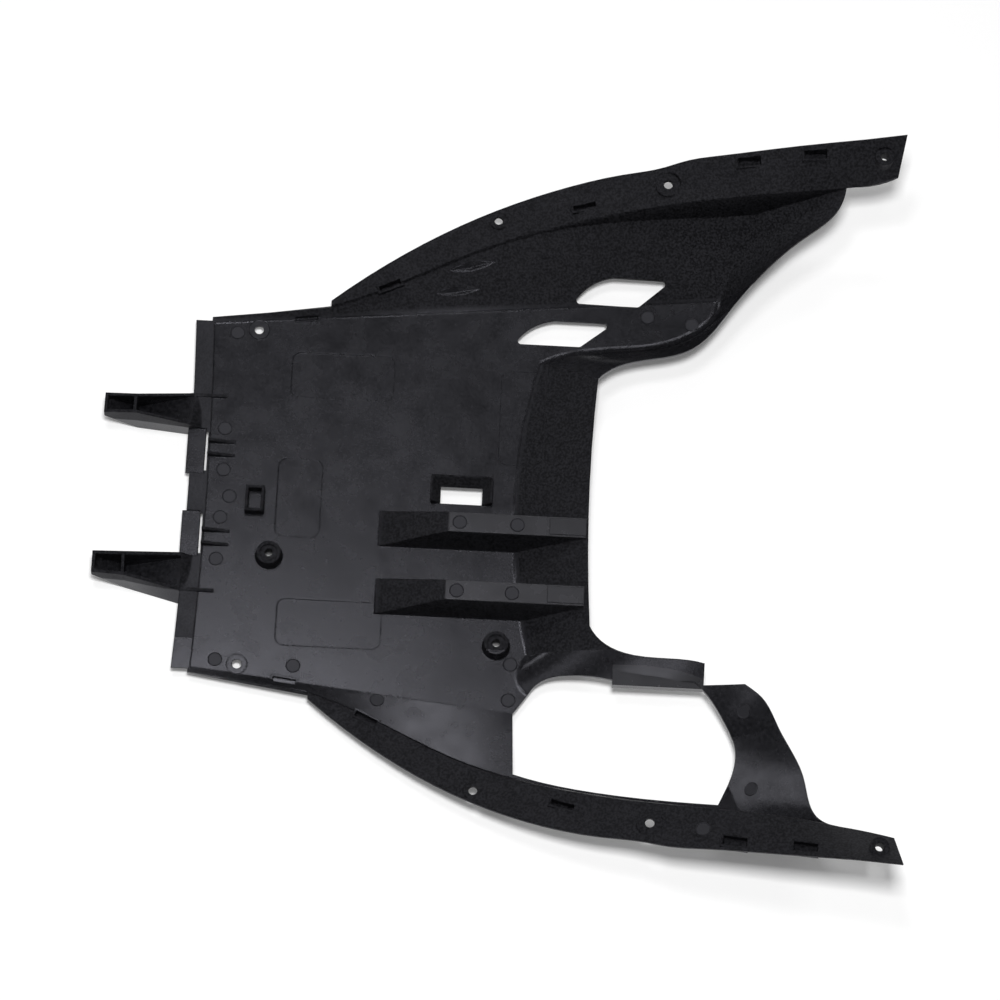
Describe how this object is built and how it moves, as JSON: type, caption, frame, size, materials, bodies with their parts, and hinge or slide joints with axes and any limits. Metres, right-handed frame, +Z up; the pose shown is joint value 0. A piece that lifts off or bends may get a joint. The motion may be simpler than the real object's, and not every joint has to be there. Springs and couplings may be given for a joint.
{
  "type": "engine under cover",
  "caption": "Shallow moulded plastic tray that closes a motorbike's underside, with swept side wings, a screw flange, floor ribs, front tongues and a notched rear edge",
  "frame": {"origin": "on the middle line of the floor, in the plane of the flat underside", "axes": "+X to the rear of the vehicle, +Y to its right side, +Z up into the tray"},
  "size_m": [0.5548, 0.533, 0.0902],
  "materials": {
    "body": "moulded black plastic with a fine grain"
  },
  "bodies": {
    "root": {"under_cover": "body"}
  },
  "joints": []
}
